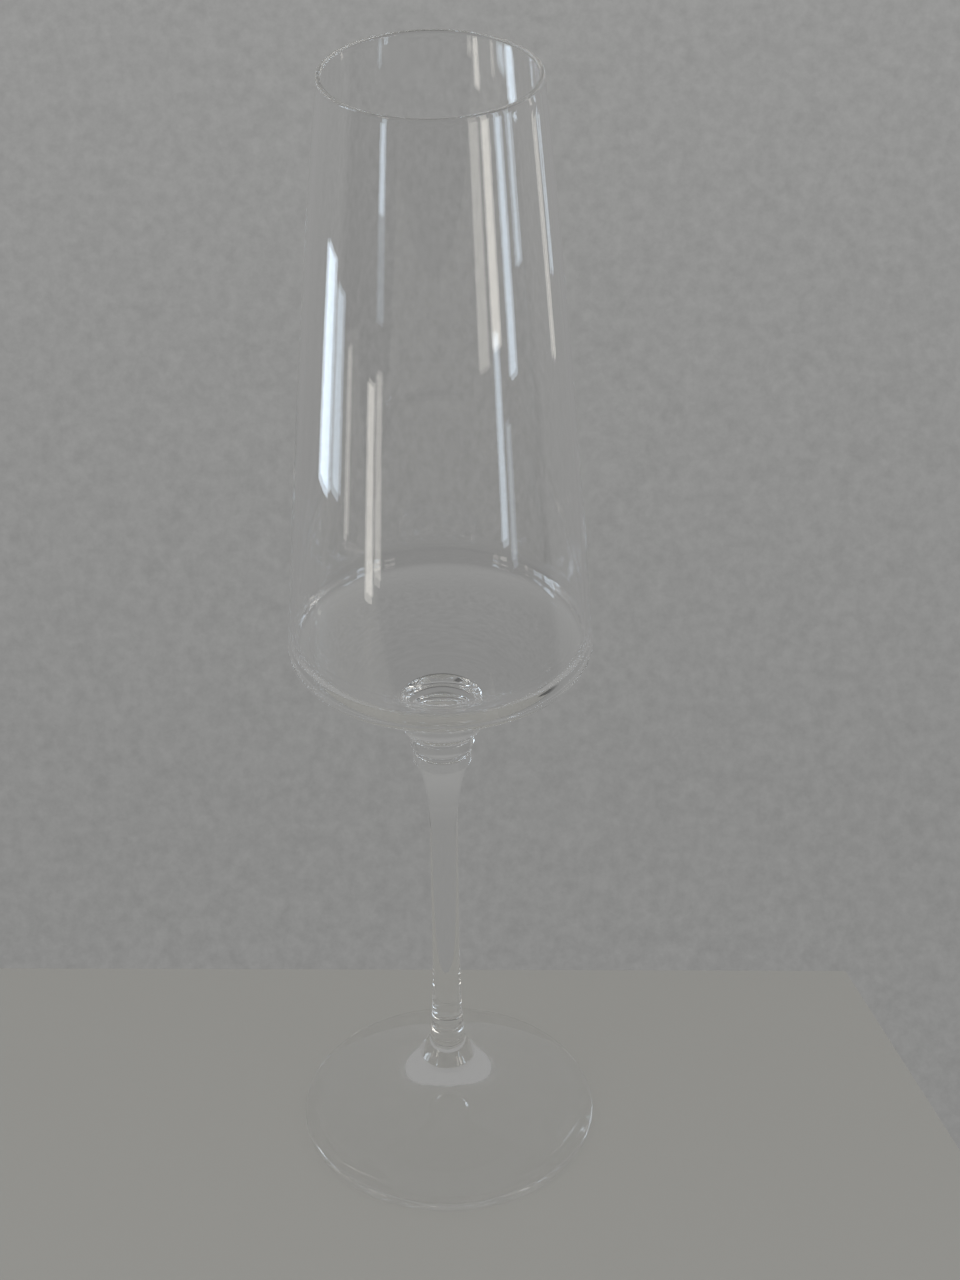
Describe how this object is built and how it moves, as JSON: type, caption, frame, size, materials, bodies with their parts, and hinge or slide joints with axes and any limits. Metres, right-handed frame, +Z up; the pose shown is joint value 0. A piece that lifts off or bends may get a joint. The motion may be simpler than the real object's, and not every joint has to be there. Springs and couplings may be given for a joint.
{
  "type": "champagne flute",
  "caption": "Stemmed champagne flute: tall bowl, widest low down over a conical underside, tapering to the rim, on a collared solid stem and a round foot.",
  "frame": {"origin": "centre of the plane that the foot rests on", "axes": "+Z up along the axis of the glass, towards the rim; the glass is round about +Z, so +X is any way to the side"},
  "size_m": [0.0674, 0.0674, 0.26],
  "materials": {
    "bowl_glass": "clear, fire-polished",
    "stem_glass": "clear, fire-polished",
    "foot_glass": "clear, pressed and fire-polished"
  },
  "bodies": {
    "root": {"bowl": "bowl_glass", "upper_collar": "stem_glass", "lower_collar": "stem_glass", "stem": "stem_glass", "foot": "foot_glass"}
  },
  "joints": []
}
